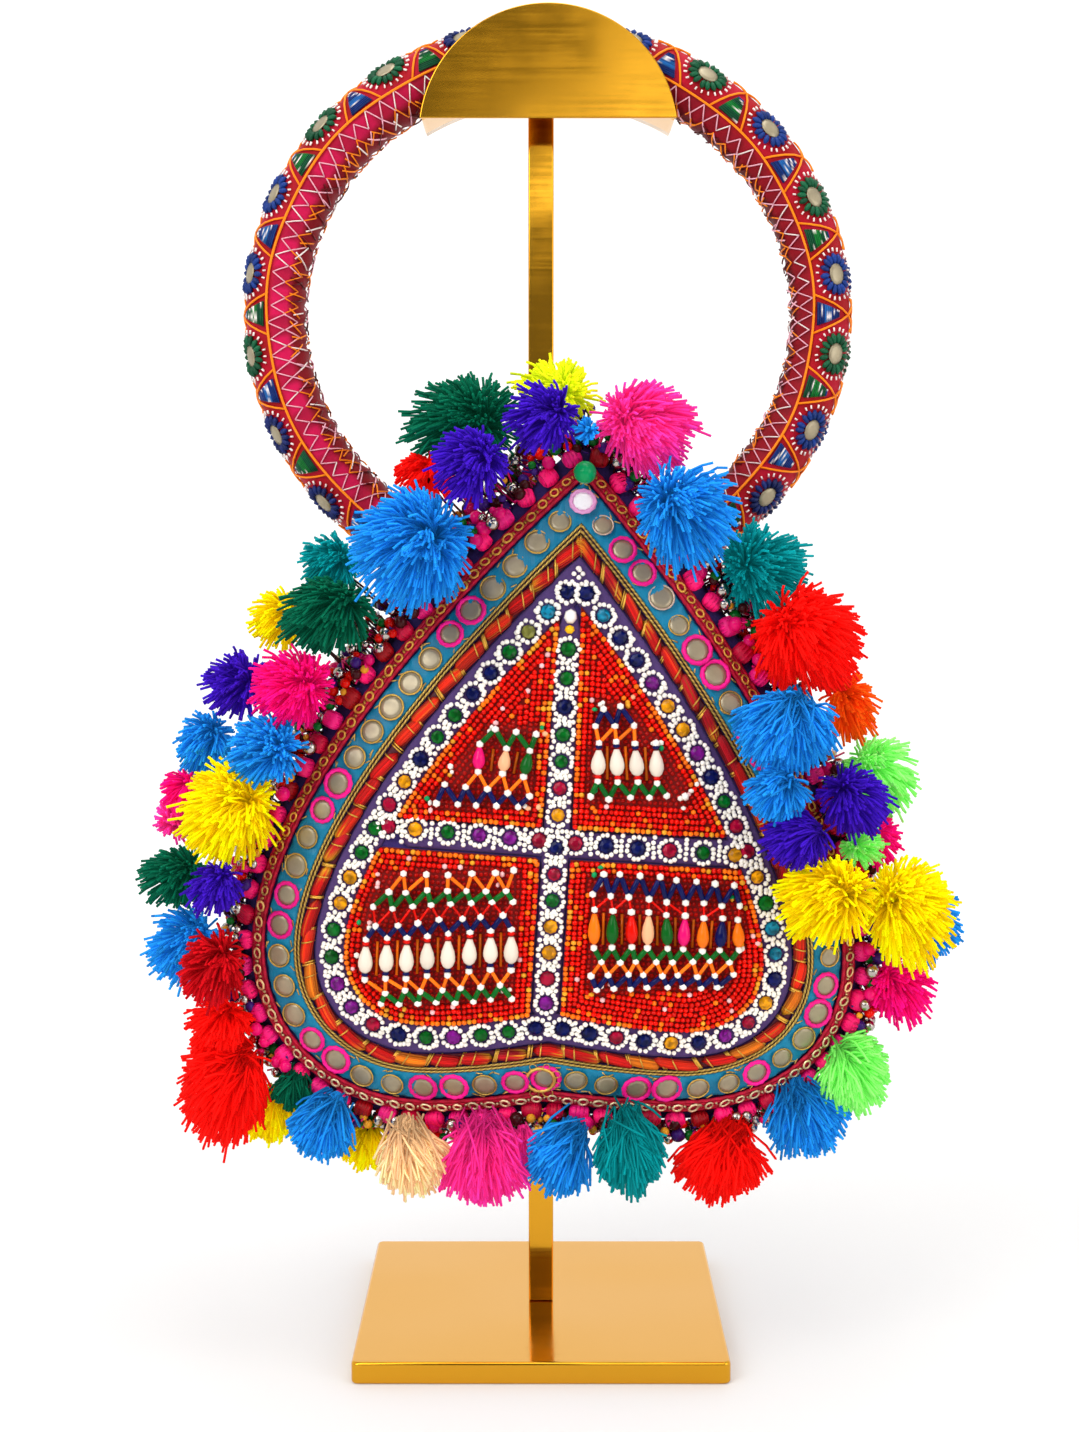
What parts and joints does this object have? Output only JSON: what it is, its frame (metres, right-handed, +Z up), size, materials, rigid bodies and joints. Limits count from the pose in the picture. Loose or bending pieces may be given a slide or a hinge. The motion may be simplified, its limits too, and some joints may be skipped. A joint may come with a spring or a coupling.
{
  "type": "potli bag on display stand",
  "caption": "Heart-shaped beaded potli bag with mirror bands, yarn pompoms and a padded embroidered ring handle, hung on a gold metal display stand with a square base.",
  "frame": {"origin": "centre of the stand base's underside", "axes": "+Z up along the post, -Y the bag's face, +X to the viewer's right"},
  "size_m": [0.3274, 0.1855, 0.5404],
  "materials": {
    "gold_metal": "polished",
    "handle_cloth": "matte",
    "pouch_cloth": "matte",
    "wrapped_beads": "satin",
    "piping_cloth": "satin",
    "mirror_band": "satin",
    "metal_thread": "satin",
    "wound_braid": "satin",
    "ribbon": "matte",
    "glass_beads": "gloss",
    "jade_bead": "gloss",
    "yarn_lemon": "matte",
    "yarn_purple": "matte",
    "yarn_pink": "matte",
    "yarn_green": "matte",
    "yarn_red": "matte",
    "yarn_blue": "matte",
    "yarn_teal": "matte",
    "yarn_yellow": "matte",
    "yarn_crimson": "matte",
    "yarn_peach": "matte",
    "yarn_lime": "matte",
    "yarn_magenta": "matte",
    "yarn_orange": "matte"
  },
  "bodies": {
    "root": {"apex_bead": "jade_bead", "bead_panel_bottom_left": "glass_beads", "bead_panel_bottom_right": "glass_beads", "bead_panel_top_left": "glass_beads", "bead_panel_top_right": "glass_beads", "braid": "wound_braid", "edge_beads": "wrapped_beads", "gold_cord": "metal_thread", "mirror_band": "mirror_band", "piping": "piping_cloth", "pompom_01_lemon": "yarn_lemon", "pompom_02_purple": "yarn_purple", "pompom_03_pink": "yarn_pink", "pompom_04_green": "yarn_green", "pompom_05_purple": "yarn_purple", "pompom_06_red": "yarn_red", "pompom_07_blue": "yarn_blue", "pompom_08_teal": "yarn_teal", "pompom_09_green": "yarn_green", "pompom_10_yellow": "yarn_yellow", "pompom_11_pink": "yarn_pink", "pompom_12_purple": "yarn_purple", "pompom_13_blue": "yarn_blue", "pompom_14_blue": "yarn_blue", "pompom_15_yellow": "yarn_yellow", "pompom_16_green": "yarn_green", "pompom_17_purple": "yarn_purple", "pompom_18_blue": "yarn_blue", "pompom_19_crimson": "yarn_crimson", "pompom_20_red": "yarn_red", "pompom_21_yellow": "yarn_yellow", "pompom_22_blue": "yarn_blue", "pompom_23_yellow": "yarn_yellow", "pompom_24_peach": "yarn_peach", "pompom_25_pink": "yarn_pink", "pompom_26_blue": "yarn_blue", "pompom_27_teal": "yarn_teal", "pompom_28_red": "yarn_red", "pompom_29_blue": "yarn_blue", "pompom_30_lime": "yarn_lime", "pompom_31_magenta": "yarn_magenta", "pompom_32_blue": "yarn_blue", "pompom_33_yellow": "yarn_yellow", "pompom_34_yellow": "yarn_yellow", "pompom_35_purple": "yarn_purple", "pompom_36_purple": "yarn_purple", "pompom_37_lime": "yarn_lime", "pompom_38_blue": "yarn_blue", "pompom_39_blue": "yarn_blue", "pompom_40_orange": "yarn_orange", "pompom_41_red": "yarn_red", "pompom_42_teal": "yarn_teal", "pompom_43_blue": "yarn_blue", "pouch_back": "pouch_cloth", "pouch_front": "pouch_cloth", "ring_handle": "handle_cloth", "ring_sleeve": "pouch_cloth", "stand_base": "gold_metal", "stand_holder": "gold_metal", "trellis": "ribbon"}
  },
  "joints": []
}
